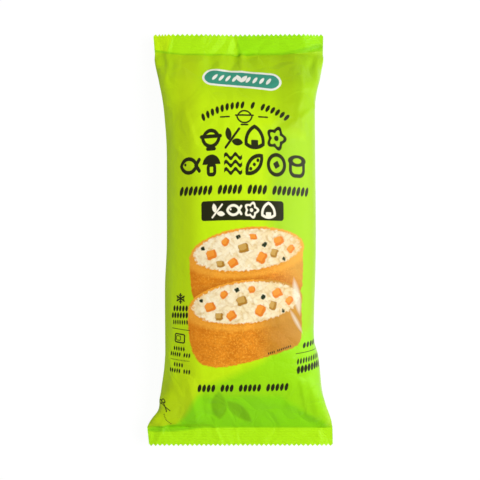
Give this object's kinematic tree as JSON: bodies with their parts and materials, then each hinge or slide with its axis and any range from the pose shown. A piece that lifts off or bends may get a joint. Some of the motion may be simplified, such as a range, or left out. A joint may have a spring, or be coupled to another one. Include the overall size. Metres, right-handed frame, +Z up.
{
  "type": "pillow pack of frozen inari sushi",
  "caption": "Sealed lime-green pillow pack of frozen stuffed tofu pockets, lying on its back: flat crimped seals with zigzag edges at both ends and a folded fin seam behind.",
  "frame": {"origin": "on the surface the pack lies on, under the middle of its box", "axes": "+X across the pack to the right of its printed front, +Y along the pack towards its top end, +Z up out of the printed front"},
  "size_m": [0.1126, 0.25, 0.0413],
  "materials": {
    "film": "satin printed polymer film: lime green ground, dark olive print, two stacked stuffed pockets on the front"
  },
  "bodies": {
    "root": {"pouch": "film"}
  },
  "joints": []
}
